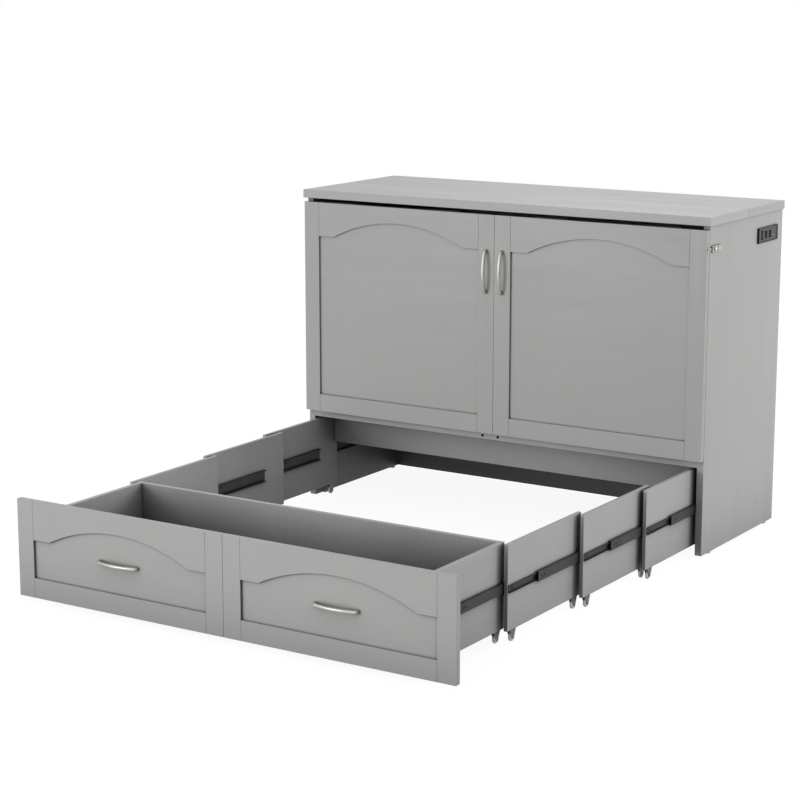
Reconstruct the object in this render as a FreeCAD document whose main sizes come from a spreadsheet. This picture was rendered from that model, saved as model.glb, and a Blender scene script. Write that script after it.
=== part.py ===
import FreeCAD, Part
import math
import os
import re

import Sketcher
from FreeCAD import Rotation, Vector

# A cabinet bed, shown with its lid and front shut and its drawer pulled out on three telescoping stages.
# Frame: +X to the right of someone facing the front, +Y to the back, +Z up, the floor at zero, and the
# origin under the middle of the whole object. Every place along Y is counted from the shut front's face,
# and SHIFT carries it into this frame.

SIZES = {
    # cabinet
    "cabinet_width": 1506.0,
    "cabinet_depth": 584.0,
    "cabinet_height": 1084.0,
    "side_thickness": 22.0,
    "floor_gap": 7.0,
    "lid_thickness": 28.0,
    "lid_overhang": 8.5,
    "lid_front_setback": 5.0,
    "lid_front_depth": 284.0,
    "lid_back_setback": 5.0,
    "lid_seam": 1.0,
    "lid_edge_round": 2.0,
    "back_inset": 7.0,
    "back_panel_thickness": 6.0,
    "back_rail_thickness": 18.0,
    "top_rail_height": 40.0,
    "top_rail_thickness": 18.0,
    "top_rail_setback": 7.0,
    "shelf_thickness": 24.0,
    "glide_radius": 11.0,
    "glide_foot_radius": 9.0,
    "glide_chamfer": 3.0,
    "glide_front": 94.0,
    "glide_back_inset": 50.0,
    "magnet_radius": 5.0,
    "magnet_length": 10.0,
    "magnet_drop": 13.2,
    "magnet_left": -50.8,
    "magnet_right": 7.8,
    "hole_clearance": 0.1,
    "edge_ease": 0.8,
    # front and foot panels
    "shelf_gap": 6.5,
    "lid_gap": 12.5,
    "front_thickness": 20.0,
    "front_gap": 0.4,
    "frame_thickness": 7.0,
    "outer_stile_width": 58.0,
    "inner_stile_width": 60.0,
    "joint_gap": 0.8,
    "bottom_rail_height": 60.0,
    "arch_shoulder": 61.0,
    "door_arch_rise": 62.0,
    "door_rail_at_peak": 53.0,
    "drawer_arch_rise": 61.0,
    "drawer_rail_at_peak": 57.0,
    "door_seam": 1.2,
    "foot_short": 88.0,
    "foot_thickness": 20.0,
    "foot_side_gap": 20.0,
    # handles
    "handle_span": 136.0,
    "handle_bar": 10.5,
    "handle_reach": 28.0,
    "handle_leg": 12.0,
    "handle_bend": 9.0,
    "door_handle_drop": 186.0,
    "door_handle_offset": 30.0,
    "drawer_handle_offset": 376.5,
    "drawer_handle_rise": 148.5,
    # hinges
    "knuckle_radius": 3.0,
    "hinge_pin_radius": 1.25,
    "pin_clearance": 0.05,
    "hinge_clearance": 0.3,
    "hinge_leaf": 1.0,
    "hinge_leaf_width": 25.0,
    "hinge_length": 120.0,
    "hinge_end_knuckle": 36.0,
    "hinge_spread": 600.0,
    "hinge_mid_spread": 200.0,
    "fold_seam": 0.5,
    "barrel_radius": 7.0,
    "barrel_length": 18.0,
    "barrel_spread": 640.0,
    "barrel_mid_spread": 230.0,
    # catch
    "catch_from_lid": 73.0,
    "catch_tall": 20.0,
    "catch_long": 62.0,
    "catch_start": 30.0,
    "catch_thickness": 6.0,
    "tongue_tall": 9.0,
    "tongue_thickness": 2.4,
    "tongue_entry": 22.0,
    "tongue_start": 4.0,
    "tongue_plate_tall": 14.0,
    "catch_clearance": 1.0,
    "catch_button_place": 34.0,
    "catch_button_radius": 5.0,
    "catch_button_rise": 1.5,
    # outlet
    "outlet_from_back": 47.0,
    "outlet_from_lid": 45.5,
    "outlet_long": 154.0,
    "outlet_tall": 49.5,
    "outlet_plate": 3.0,
    "outlet_box_long": 138.0,
    "outlet_box_tall": 37.0,
    "outlet_box_depth": 38.0,
    "switch_start": 25.0,
    "switch_long": 14.0,
    "switch_tall": 32.0,
    "socket_near": 63.0,
    "socket_far": 95.0,
    "blade_offset": 6.0,
    "blade_width": 2.4,
    "blade_tall": 9.0,
    "ground_drop": 8.0,
    "ground_radius": 2.6,
    "port_start": 119.0,
    "port_long": 15.0,
    "port_tall": 6.0,
    "port_low": 15.0,
    "port_high": 31.0,
    # telescoping stages
    "stage1_travel": 346.0,
    "stage2_travel": 341.0,
    "stage3_travel": 396.0,
    "drawer_travel": 389.0,
    "stage1_stagger": 17.0,
    "stage_front_gap": 2.5,
    "rail_length": 426.0,
    "rail_thickness": 12.0,
    "rail_height": 250.0,
    "rail_bottom": 35.0,
    "cross_rail_height": 99.0,
    "cross_rail_thickness": 12.0,
    "cross_rail_gap": 3.0,
    # slides
    "slide_thickness": 12.7,
    "slide_length": 314.0,
    "slide_drop": 2.5,
    "slide_showing": 153.0,
    "slide_end_inset": 2.0,
    "slide_steel": 1.2,
    "outer_tall": 40.0,
    "outer_flange": 9.5,
    "outer_lip": 3.2,
    "middle_tall": 28.5,
    "middle_start": 1.7,
    "middle_flange": 8.9,
    "inner_tall": 21.0,
    "inner_flange": 7.0,
    "race_clearance": 0.3,
    "cage_length": 60.0,
    "cage_width": 3.6,
    "slide_hole_radius": 2.2,
    "slide_hole_inset": 20.0,
    # drawer
    "drawer_front_bottom": 15.0,
    "drawer_shelf_gap": 6.5,
    "drawer_side_length": 415.0,
    "drawer_side_thickness": 15.0,
    "drawer_bottom_height": 45.0,
    "drawer_bottom_thickness": 9.0,
    # casters
    "caster_inset": 33.0,
    "wheel_radius": 13.0,
    "wheel_width": 8.0,
    "wheel_chamfer": 1.5,
    "axle_radius": 2.0,
    "fork_width": 12.0,
    "fork_steel": 1.4,
    "fork_length": 30.0,
    "fork_nose": 6.0,
}

doc = FreeCAD.newDocument("cabinet_bed")
sheet = doc.addObject("Spreadsheet::Sheet", "Sizes")
for row, (size_name, size) in enumerate(SIZES.items(), start=1):
    sheet.set(f"A{row}", size_name)
    sheet.set(f"B{row}", str(size))
    sheet.setAlias(f"B{row}", size_name)
doc.recompute()

# Places and sizes that several pieces share, as expressions of the driving dimensions.
HALF_WIDTH = "(cabinet_width / 2)"
SIDE_INNER = "(cabinet_width / 2 - side_thickness)"
LID_UNDER = "(cabinet_height - lid_thickness)"
TRAVEL = "(stage1_travel + stage2_travel + stage3_travel + drawer_travel)"
DRAWER_PANEL = f"(frame_thickness - {TRAVEL})"
SHIFT = f"((handle_reach - {DRAWER_PANEL} - cabinet_depth) / 2)"
BACKER = "(front_thickness - frame_thickness)"
SHELF_UNDER = "(rail_bottom + rail_height + shelf_gap)"
FRONT_BOTTOM = f"({SHELF_UNDER} + shelf_thickness)"
FRONT_TOP = f"({LID_UNDER} - lid_gap)"
FRONT_HEIGHT = f"({FRONT_TOP} - {FRONT_BOTTOM})"
FOOT_LENGTH = f"({FRONT_HEIGHT} - foot_short)"
MAGNET_HEIGHT = f"({FRONT_BOTTOM} - magnet_drop)"
CATCH_HEIGHT = f"({LID_UNDER} - catch_from_lid)"
OUTLET_FRONT = "(cabinet_depth - outlet_from_back - outlet_long)"
OUTLET_BOTTOM = f"({LID_UNDER} - outlet_from_lid - outlet_tall)"
BACK_FACE = "(cabinet_depth - back_inset - back_panel_thickness)"
SEAM = "(lid_front_setback + lid_front_depth + lid_seam / 2)"
HINGE_Y = "(front_thickness + hinge_clearance)"
HINGE_Z = f"({FRONT_BOTTOM} + hinge_clearance)"
FOLD_Z = f"({FRONT_TOP} + fold_seam)"
FOOT_FACE = f"({HINGE_Y} + hinge_clearance)"
SIDE_FRONT = f"({FOOT_FACE} + front_gap)"
LANE = "(slide_thickness + rail_thickness)"
STAGE_FRONT = "(front_thickness + stage_front_gap)"
ARCH_WIDTH = "(cabinet_width / 2 - outer_stile_width - inner_stile_width)"
SLIDE_Z = "(rail_bottom + rail_height / 2 - slide_drop)"
MIDDLE_WEB = "(middle_start + slide_steel)"


def full(expression):
    """The expression with each size's name written as its cell in the sheet."""
    return re.sub(r"[a-z]\w+", lambda word: f"Sizes.{word[0]}" if word[0] in SIZES else word[0], expression)


def number(expression):
    """The expression's value in millimetres."""
    return float(sheet.evalExpression(full(expression)))


def bind(thing, **sizes):
    for prop, expression in sizes.items():
        thing.setExpression(prop, full(expression))


def place(thing, x="0", y="0", z="0"):
    """Put a piece at x and z, and at y counted from the shut front's face."""
    thing.setExpression("Placement.Base.x", full(x))
    thing.setExpression("Placement.Base.y", full(f"{SHIFT} + {y}"))
    thing.setExpression("Placement.Base.z", full(z))
    return thing


def turn(thing, axis, angle):
    thing.Placement.Rotation = Rotation(axis, angle)
    return thing


# --- Part primitives and booleans ---------------------------------------------------------------


def board(label, length, width, height, x, y, z):
    """A plain board: its length along X, width along Y, height along Z, from its low corner."""
    box = doc.addObject("Part::Box", label)
    bind(box, Length=length, Width=width, Height=height)
    return place(box, x, y, z)


def rod(label, radius, length, axis, x, y, z):
    """A round bar from x, y, z along the X, Y or Z axis."""
    bar = doc.addObject("Part::Cylinder", label)
    bind(bar, Radius=radius, Height=length)
    turn(bar, Vector(0, 1, 0) if axis == "X" else Vector(-1, 0, 0), 0 if axis == "Z" else 90)
    return place(bar, x, y, z)


def cut(label, base, tools):
    """The base without its tools, of which there may be several."""
    tool = tools[0] if len(tools) == 1 else group(f"{label}_tools", tools)
    result = doc.addObject("Part::Cut", label)
    result.Base = base
    result.Tool = tool
    return result


def fuse(label, pieces):
    result = doc.addObject("Part::MultiFuse", label)
    result.Shapes = pieces
    return result


def group(label, pieces):
    """Separate solids that share one node."""
    result = doc.addObject("Part::Compound", label)
    result.Links = pieces
    return result


def eased_board(label, length, width, height, x, y, z):
    """A board whose twelve edges are eased by a narrow chamfer."""
    plain = board(f"{label}_plain", length, width, height, x, y, z)
    eased = doc.addObject("Part::Chamfer", label)
    eased.Base = plain
    ease = number("edge_ease")
    eased.Edges = [(edge, ease, ease) for edge in range(1, 13)]
    return eased


def mirrored(piece):
    """The piece's twin on the other side of the middle."""
    twin = doc.addObject("Part::Mirroring", f"{piece.Name}_left")
    twin.Source = piece
    twin.Normal = Vector(1, 0, 0)
    twin.Base = Vector(0, 0, 0)
    return twin


def both_sides(label, pieces):
    """A node of the right-hand pieces and their left-hand twins."""
    return group(label, pieces + [mirrored(piece) for piece in pieces])


# --- bodies made from sketches ---------------------------------------------------------------


def body(label, x="0", y="0", z="0"):
    return place(doc.addObject("PartDesign::Body", label), x, y, z)


def sketch(owner, plane, name):
    """An empty sketch on one of the body's own origin planes: XY, XZ or YZ."""
    new = owner.newObject("Sketcher::SketchObject", f"{owner.Name}_{name}")
    origin_plane = [f for f in owner.Origin.OriginFeatures if f.Role == f"{plane}_Plane"][0]
    new.AttachmentSupport = [(origin_plane, "")]
    new.MapMode = "FlatFace"
    return new


def fix_point(drawing, geometry, point, across, up):
    """Tie one point of the sketch to two distances from the sketch's origin."""
    for kind, distance in (("DistanceX", across), ("DistanceY", up)):
        index = drawing.addConstraint(Sketcher.Constraint(kind, -1, 1, geometry, point, number(distance)))
        drawing.setExpression(f"Constraints[{index}]", full(distance))


def arc_between(start, end, radius, leftward):
    """The shorter arc from start to end that swells to the left, or right, of the way there."""
    along = end - start
    middle = (start + end) * 0.5
    normal = Vector(-along.y, along.x, 0).normalize()
    depth = math.sqrt(radius**2 - (along.Length / 2) ** 2)
    centre = middle - normal * depth if leftward else middle + normal * depth
    first, last = (end, start) if leftward else (start, end)
    angles = [math.atan2(point.y - centre.y, point.x - centre.x) for point in (first, last)]
    if angles[1] < angles[0]:
        angles[1] += 2 * math.pi
    circle = Part.Circle(centre, Vector(0, 0, 1), radius)
    return Part.ArcOfCircle(circle, angles[0], angles[1])


def outline(drawing, corners, closed=True):
    """Draw an outline, or an open path. Each corner is (across, up), or (across, up, side, radius) where
    an arc that swells to that side, left or right, leads on to the next corner."""
    points = [Vector(number(c[0]), number(c[1]), 0) for c in corners]
    ends = []
    for index, corner in enumerate(corners if closed else corners[:-1]):
        start, end = points[index], points[(index + 1) % len(points)]
        if len(corner) == 2:
            geometry = drawing.addGeometry(Part.LineSegment(start, end), False)
            ends.append((geometry, 1, 2))
            continue
        leftward = corner[2] == "left"
        radius = number(corner[3])
        geometry = drawing.addGeometry(arc_between(start, end, radius, leftward), False)
        ends.append((geometry, 2, 1) if leftward else (geometry, 1, 2))
        size = drawing.addConstraint(Sketcher.Constraint("Radius", geometry, radius))
        drawing.setExpression(f"Constraints[{size}]", full(corner[3]))
    for index, (geometry, first, last) in enumerate(ends):
        fix_point(drawing, geometry, first, corners[index][0], corners[index][1])
        if not closed and index == len(ends) - 1:
            fix_point(drawing, geometry, last, corners[-1][0], corners[-1][1])
            continue
        following = ends[(index + 1) % len(ends)]
        drawing.addConstraint(Sketcher.Constraint("Coincident", geometry, last, following[0], following[1]))
    return drawing


def rectangle(drawing, left, low, right, high):
    return outline(drawing, [(left, low), (right, low), (right, high), (left, high)])


def hole(drawing, across, up, radius):
    """Draw a circle whose centre and radius are tied to sizes."""
    centre = Vector(number(across), number(up), 0)
    geometry = drawing.addGeometry(Part.Circle(centre, Vector(0, 0, 1), number(radius)), False)
    fix_point(drawing, geometry, 3, across, up)
    size = drawing.addConstraint(Sketcher.Constraint("Radius", geometry, number(radius)))
    drawing.setExpression(f"Constraints[{size}]", full(radius))
    return drawing


def pad(owner, drawing, length, back=False, midplane=False):
    """Raise the sketch; back turns the pad against the sketch's normal."""
    feature = owner.newObject("PartDesign::Pad", f"{drawing.Name}_pad")
    feature.Profile = drawing
    feature.Reversed = back
    feature.Midplane = midplane
    bind(feature, Length=length)
    return feature


def pocket(owner, drawing, length=None, back=False, midplane=False):
    """Cut the sketch out, to a depth against its normal, or right through with no depth."""
    feature = owner.newObject("PartDesign::Pocket", f"{drawing.Name}_pocket")
    feature.Profile = drawing
    feature.Reversed = back
    feature.Midplane = midplane
    if length is None:
        feature.Type = "ThroughAll"
    else:
        bind(feature, Length=length)
    return feature


def revolve(owner, drawing, axis):
    """Turn the sketch a full turn about its own horizontal or vertical axis."""
    feature = owner.newObject("PartDesign::Revolution", f"{drawing.Name}_turned")
    feature.Profile = drawing
    feature.ReferenceAxis = (drawing, [axis])
    feature.Angle = 360
    return feature


def pipe(owner, section, path):
    """Carry the section along the path."""
    feature = owner.newObject("PartDesign::AdditivePipe", f"{path.Name}_pipe")
    feature.Profile = section
    feature.Spine = path
    return feature


# --- cabinet ---------------------------------------------------------------


def side_panel(label, x, has_outlet):
    panel = body(label, x)
    face = rectangle(sketch(panel, "YZ", "outline"), SIDE_FRONT, "floor_gap", "cabinet_depth", LID_UNDER)
    pad(panel, face, "side_thickness")
    if has_outlet:
        edge = "(outlet_long - outlet_box_long) / 2 - hole_clearance"
        rim = "(outlet_tall - outlet_box_tall) / 2 - hole_clearance"
        cutout = rectangle(
            sketch(panel, "YZ", "cutout"),
            f"{OUTLET_FRONT} + {edge}",
            f"{OUTLET_BOTTOM} + {rim}",
            f"{OUTLET_FRONT} + outlet_long - ({edge})",
            f"{OUTLET_BOTTOM} + outlet_tall - ({rim})",
        )
        pocket(panel, cutout, midplane=True)
    return panel


def lid_half(label, y, depth, toward_back):
    """Half the lid, drawn from the seam, with its far edge eased and bores for the hinge barrels."""
    half = body(label, "0", y, LID_UNDER)
    sign = "" if toward_back else "-"
    far = f"{sign}({depth})"
    eased = f"{sign}({depth} - lid_edge_round)"
    bulge = "right" if toward_back else "left"
    profile = outline(
        sketch(half, "YZ", "profile"),
        [
            ("0", "0"),
            (eased, "0", bulge, "lid_edge_round"),
            (far, "lid_edge_round"),
            (far, "lid_thickness - lid_edge_round", bulge, "lid_edge_round"),
            (eased, "lid_thickness"),
            ("0", "lid_thickness"),
        ],
    )
    pad(half, profile, "cabinet_width + 2 * lid_overhang", midplane=True)
    bores = sketch(half, "XZ", "bores")
    for spread in ("barrel_spread", "barrel_mid_spread"):
        for sign in ("", "-"):
            hole(bores, f"{sign}{spread}", "lid_thickness / 2", "barrel_radius + hole_clearance")
    pocket(half, bores, "barrel_length + hole_clearance", back=not toward_back)
    return half


def lid_barrels(label, y):
    """The halves of the four concealed hinges that sit in one lid edge, from y towards the back."""
    height = f"{LID_UNDER} + lid_thickness / 2"
    barrels = [
        rod(f"{label}_{name}", "barrel_radius", "barrel_length", "Y", spread, y, height)
        for name, spread in (("outer", "barrel_spread"), ("inner", "barrel_mid_spread"))
    ]
    return both_sides(label, barrels)


def platform_shelf(label):
    """The fixed part of the platform, with blind bores for two magnets in its front edge and with
    mortises for the hinge leaves."""
    plain = board(f"{label}_board", f"2 * {SIDE_INNER}", f"{BACK_FACE} - {SIDE_FRONT}", "shelf_thickness",
                  f"-{SIDE_INNER}", SIDE_FRONT, SHELF_UNDER)
    bores = [
        rod(f"{label}_bore_{x}", "magnet_radius + hole_clearance", "magnet_length", "Y",
            x, SIDE_FRONT, MAGNET_HEIGHT)
        for x in ("magnet_left", "magnet_right")
    ]
    return cut(label, plain, bores + mortises(f"{label}_mortise", HINGE_Z, SHELF_LEAF))


def floor_glides(label):
    """Four round glides with a chamfered foot, nailed under the side panels."""
    glides = []
    for name, y in (("front", "glide_front"), ("back", "(cabinet_depth - glide_back_inset)")):
        glide = body(f"{label}_{name}", f"{HALF_WIDTH} - side_thickness / 2", y)
        profile = outline(
            sketch(glide, "XZ", "profile"),
            [("0", "0"), ("glide_foot_radius", "0"), ("glide_radius", "glide_chamfer"),
             ("glide_radius", "floor_gap"), ("0", "floor_gap")],
        )
        revolve(glide, profile, "V_Axis")
        glides.append(glide)
    return both_sides(label, glides)


def outlet_unit(label):
    """A surface plate with a switch opening, two three-hole sockets, two charging ports and a box behind."""
    unit = body(label, HALF_WIDTH, OUTLET_FRONT, OUTLET_BOTTOM)
    pad(unit, rectangle(sketch(unit, "YZ", "plate"), "0", "0", "outlet_long", "outlet_tall"), "outlet_plate")
    box_left = "(outlet_long - outlet_box_long) / 2"
    box_low = "(outlet_tall - outlet_box_tall) / 2"
    box = rectangle(sketch(unit, "YZ", "box"), box_left, box_low,
                    f"{box_left} + outlet_box_long", f"{box_low} + outlet_box_tall")
    pad(unit, box, "outlet_box_depth", back=True)
    # the pocket starts on the plate's back, so it is reversed to cut outward through the plate
    face = sketch(unit, "YZ", "sockets")
    middle = "outlet_tall / 2"
    rectangle(face, "switch_start", f"{middle} - switch_tall / 2", "switch_start + switch_long",
              f"{middle} + switch_tall / 2")
    for across in ("socket_near", "socket_far"):
        for blade in (f"{across} - blade_offset", f"{across} + blade_offset"):
            rectangle(face, f"{blade} - blade_width / 2", middle, f"{blade} + blade_width / 2",
                      f"{middle} + blade_tall")
        hole(face, across, f"{middle} - ground_drop", "ground_radius")
    for up in ("port_low", "port_high"):
        rectangle(face, "port_start", up, "port_start + port_long", f"{up} + port_tall")
    pocket(unit, face, "outlet_plate", back=True)
    return unit


def catch_housings(label):
    """The side panel's half of each catch: a block with a slot for the tongue and a round button."""
    house = body(label + "_right", HALF_WIDTH, "catch_start", CATCH_HEIGHT)
    block = rectangle(sketch(house, "YZ", "block"), "0", "-catch_tall / 2", "catch_long", "catch_tall / 2")
    pad(house, block, "catch_thickness")
    slot_half = "(tongue_tall / 2 + catch_clearance)"
    slot = rectangle(sketch(house, "YZ", "slot"), "0", f"-{slot_half}",
                     "tongue_entry + catch_clearance", slot_half)
    pocket(house, slot, "tongue_thickness + catch_clearance", back=True)
    button = hole(sketch(house, "YZ", "button"), "catch_button_place", "0", "catch_button_radius")
    pad(house, button, "catch_thickness + catch_button_rise")
    return both_sides(label, [house])


def catch_tongues(label):
    """The front panel's half of each catch: a plate on the panel's edge whose nose enters the slot."""
    tongue = body(label + "_right", HALF_WIDTH, "tongue_start", CATCH_HEIGHT)
    plate_half = "(tongue_plate_tall / 2)"
    plate_end = "(front_thickness - tongue_start)"
    nose_end = "(catch_start + tongue_entry - tongue_start)"
    profile = outline(
        sketch(tongue, "YZ", "profile"),
        [("0", f"-{plate_half}"), (plate_end, f"-{plate_half}"), (plate_end, "-tongue_tall / 2"),
         (nose_end, "-tongue_tall / 2"), (nose_end, "tongue_tall / 2"), (plate_end, "tongue_tall / 2"),
         (plate_end, plate_half), ("0", plate_half)],
    )
    pad(tongue, profile, "tongue_thickness")
    return both_sides(label, [tongue])


# --- hinges ---------------------------------------------------------------


# Each hinge line has its pins at HINGE_Y, and two leaves let in flush with the faces of their boards.
KNUCKLE_ROOM = "(knuckle_radius + hinge_clearance)"
HINGE_PLACES = (("outer", "hinge_spread"), ("inner", "hinge_mid_spread"))
# A leaf's plate, as its low corner along Y and Z and its extents along them.
LEAF_TOP_Z = f"({FOLD_Z} - hinge_leaf_width)"
SHELF_LEAF = (HINGE_Y, f"{FRONT_BOTTOM} - hinge_leaf", "hinge_leaf_width", "hinge_leaf")
FRONT_LOW_LEAF = ("front_thickness - hinge_leaf", HINGE_Z, "hinge_leaf", "hinge_leaf_width")
FRONT_TOP_LEAF = ("front_thickness - hinge_leaf", LEAF_TOP_Z, "hinge_leaf", "hinge_leaf_width")
FOOT_LEAF = (FOOT_FACE, LEAF_TOP_Z, "hinge_leaf", "hinge_leaf_width")


def mortises(label, pin_z, leaf):
    """What a board loses to the hinges of one line: a seat for each leaf and room for its knuckles."""
    y, z, depth, height = leaf
    cutters = []
    for name, spread in HINGE_PLACES:
        start = f"{spread} - hinge_length / 2 - hinge_clearance"
        long = "hinge_length + 2 * hinge_clearance"
        seat = board(f"{label}_{name}_seat", long, depth, height, start, y, z)
        room = rod(f"{label}_{name}_room", KNUCKLE_ROOM, long, "X", start, HINGE_Y, pin_z)
        cutters.append(fuse(f"{label}_{name}", [seat, room]))
    return [both_sides(label, cutters)]


def hinge_leaf(label, spread, pin_z, leaf, keeps_pin):
    """One leaf of a hinge. The leaf that keeps the pin has the two end knuckles, with the pin fixed in
    them, and its mate has the middle one, bored. Each stands back where the other's knuckles turn."""
    y, z, depth, height = leaf
    start = f"({spread} - hinge_length / 2)"
    plate = board(f"{label}_plate", "hinge_length", depth, height, start, y, z)
    ends = [("near", start), ("far", f"{start} + hinge_length - hinge_end_knuckle")]
    middle = f"{start} + hinge_end_knuckle"
    middle_long = "hinge_length - 2 * hinge_end_knuckle"

    def round_bar(name, radius, at, long):
        return rod(f"{label}_{name}", radius, long, "X", at, HINGE_Y, pin_z)

    if keeps_pin:
        relieved = cut(f"{label}_relieved", plate, [round_bar("room", KNUCKLE_ROOM, middle, middle_long)])
        knuckles = [
            round_bar(f"knuckle_{end}", "knuckle_radius", at, "hinge_end_knuckle") for end, at in ends
        ]
        return fuse(label, [relieved, round_bar("pin", "hinge_pin_radius", start, "hinge_length")] + knuckles)
    rooms = [round_bar(f"room_{end}", KNUCKLE_ROOM, at, "hinge_end_knuckle") for end, at in ends]
    knuckle = round_bar("knuckle", "knuckle_radius", f"{middle} + hinge_clearance",
                        f"{middle_long} - 2 * hinge_clearance")
    plain = fuse(f"{label}_plain", [cut(f"{label}_relieved", plate, rooms), knuckle])
    return cut(label, plain, [round_bar("bore", "hinge_pin_radius + pin_clearance", start, "hinge_length")])


def hinge_leaves(label, pin_z, leaf, keeps_pin):
    """The leaves of one hinge line on the right, for both_sides."""
    return [hinge_leaf(f"{label}_{name}", spread, pin_z, leaf, keeps_pin) for name, spread in HINGE_PLACES]


# --- fronts that look like a pair of doors ---------------------------------------------------------------


def arched_rail(label, face, top, at_peak, rise):
    """A top rail whose lower edge is an arch between two level shoulders."""
    rail = body(label, "inner_stile_width", f"{face} + frame_thickness", top)
    low = f"-({at_peak} + {rise})"
    half_chord = f"({ARCH_WIDTH} / 2 - arch_shoulder)"
    radius = f"({half_chord} * {half_chord} + {rise} * {rise}) / (2 * {rise})"
    far = f"{ARCH_WIDTH} - joint_gap"
    profile = outline(
        sketch(rail, "XZ", "profile"),
        [("joint_gap", "0"), ("joint_gap", low), ("arch_shoulder", low, "left", radius),
         (f"{ARCH_WIDTH} - arch_shoulder", low), (far, low), (far, "0")],
    )
    pad(rail, profile, "frame_thickness")
    return rail


def backer(label, face, low, tall):
    """The board behind the stiles and rails of a front."""
    y = f"{face} + frame_thickness"
    return eased_board(label, "cabinet_width", BACKER, tall, f"-{HALF_WIDTH}", y, low)


def door_frames(prefix, face, low, tall, at_peak, rise):
    """The stiles and the rails of two doors: a node of each."""
    stiles = both_sides(f"{prefix}_stiles", [
        board(f"{prefix}_stile_outer", "outer_stile_width", "frame_thickness", tall,
              f"{HALF_WIDTH} - outer_stile_width", face, low),
        board(f"{prefix}_stile_inner", "inner_stile_width - door_seam / 2", "frame_thickness", tall,
              "door_seam / 2", face, low),
    ])
    rails = both_sides(f"{prefix}_rails", [
        arched_rail(f"{prefix}_rail_top", face, f"{low} + {tall}", at_peak, rise),
        board(f"{prefix}_rail_low", f"{ARCH_WIDTH} - 2 * joint_gap", "frame_thickness", "bottom_rail_height",
              "inner_stile_width + joint_gap", face, low),
    ])
    return [stiles, rails]


def bow_handle(label, x, face, z, upright):
    """A round bar bent into two short legs and a shallow bow between them, clear of the fingers."""
    handle = body(label, x, face, z)
    if upright:
        turn(handle, Vector(0, 1, 0), 90)
    half = "(handle_span / 2)"
    rise = "(handle_reach - handle_bar / 2 - handle_leg)"
    bow = f"(({half} * {half} + {rise} * {rise}) / (2 * {rise}))"
    centre = f"({bow} - {rise} - handle_leg)"
    # each bend touches its leg at bend_y and the bow at (touch_x, touch_y)
    inner = f"({bow} - handle_bend)"
    reach_in = f"({half} - handle_bend)"
    down = f"sqrt({inner} * {inner} - {reach_in} * {reach_in})"
    bend_y = f"({centre} - {down})"
    touch_x = f"({reach_in} * {bow} / {inner})"
    touch_y = f"({centre} - {down} * {bow} / {inner})"
    path = outline(
        sketch(handle, "XY", "path"),
        [(f"-{half}", "0"), (f"-{half}", bend_y, "right", "handle_bend"),
         (f"-{touch_x}", touch_y, "right", bow), (touch_x, touch_y, "right", "handle_bend"),
         (half, bend_y), (half, "0")],
        closed=False,
    )
    section = hole(sketch(handle, "XZ", "section"), f"-{half}", "0", "handle_bar / 2")
    pipe(handle, section, path)
    return handle


# --- slides ---------------------------------------------------------------


def slide_member(label, corners, face_x, y):
    """A rolled steel section drawn from its parent's face inward (to the left), at the slides' height."""
    member = body(label, face_x, y, SLIDE_Z)
    profile = outline(sketch(member, "XZ", "section"), [(f"-({u})", z) for u, z in corners])
    pad(member, profile, "slide_length", back=True)
    holes = sketch(member, "YZ", "holes")
    for along in ("slide_hole_inset", "slide_length - slide_hole_inset"):
        hole(holes, along, "0", "slide_hole_radius")
    pocket(member, holes, midplane=True)
    return member


def outer_channel(label, face_x, y):
    """The fixed channel: a deep C whose flange ends turn in behind the balls."""
    half = "(outer_tall / 2)"
    lip_end = "(outer_tall / 2 - outer_lip)"
    inside = "(outer_tall / 2 - slide_steel)"
    flange = "outer_flange"
    lip_start = "outer_flange - slide_steel"
    corners = [
        ("0", f"-{half}"), (flange, f"-{half}"), (flange, f"-{lip_end}"), (lip_start, f"-{lip_end}"),
        (lip_start, f"-{inside}"), ("slide_steel", f"-{inside}"), ("slide_steel", inside),
        (lip_start, inside), (lip_start, lip_end), (flange, lip_end), (flange, half), ("0", half),
    ]
    return slide_member(label, corners, face_x, y)


def middle_channel(label, face_x, y):
    """The travelling channel, nested in the outer one."""
    half = "(middle_tall / 2)"
    inside = "(middle_tall / 2 - slide_steel)"
    end = "middle_start + middle_flange"
    corners = [
        ("middle_start", f"-{half}"), (end, f"-{half}"), (end, f"-{inside}"), (MIDDLE_WEB, f"-{inside}"),
        (MIDDLE_WEB, inside), (end, inside), (end, half), ("middle_start", half),
    ]
    return slide_member(label, corners, face_x, y)


def inner_channel(label, face_x, y):
    """The channel on the moving board, with its web on that board."""
    half = "(inner_tall / 2)"
    inside = "(inner_tall / 2 - slide_steel)"
    web = "slide_thickness - slide_steel"
    end = "slide_thickness - inner_flange"
    corners = [
        ("slide_thickness", f"-{half}"), ("slide_thickness", half), (end, half), (end, inside),
        (web, inside), (web, f"-{inside}"), (end, f"-{inside}"), (end, f"-{half}"),
    ]
    return slide_member(label, corners, face_x, y)


def cages(label, face_x, y):
    """Ball cages that ride on the middle channel: between it and the outer channel near its back end,
    and between it and the inner channel near its front end."""
    outer_gap = "(outer_tall / 2 - slide_steel - middle_tall / 2 - race_clearance)"
    inner_gap = "(middle_tall / 2 - slide_steel - inner_tall / 2 - race_clearance)"
    outer_start = "(outer_flange - slide_steel - cage_width - race_clearance)"
    inner_start = "(middle_start + middle_flange - cage_width)"
    back = f"{y} + slide_length - cage_length"
    strips = []
    for name, u, start, low, tall in (
        ("outer_high", outer_start, back, "middle_tall / 2", outer_gap),
        ("outer_low", outer_start, back, f"-middle_tall / 2 - {outer_gap}", outer_gap),
        ("inner_high", inner_start, y, f"middle_tall / 2 - slide_steel - {inner_gap}", inner_gap),
        ("inner_low", inner_start, y, "-(middle_tall / 2 - slide_steel)", inner_gap),
    ):
        strips.append(board(f"{label}_{name}", "cage_width", "cage_length", tall,
                            f"{face_x} - {u} - cage_width", start, f"{SLIDE_Z} + {low}"))
    return strips


# --- casters ---------------------------------------------------------------


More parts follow.
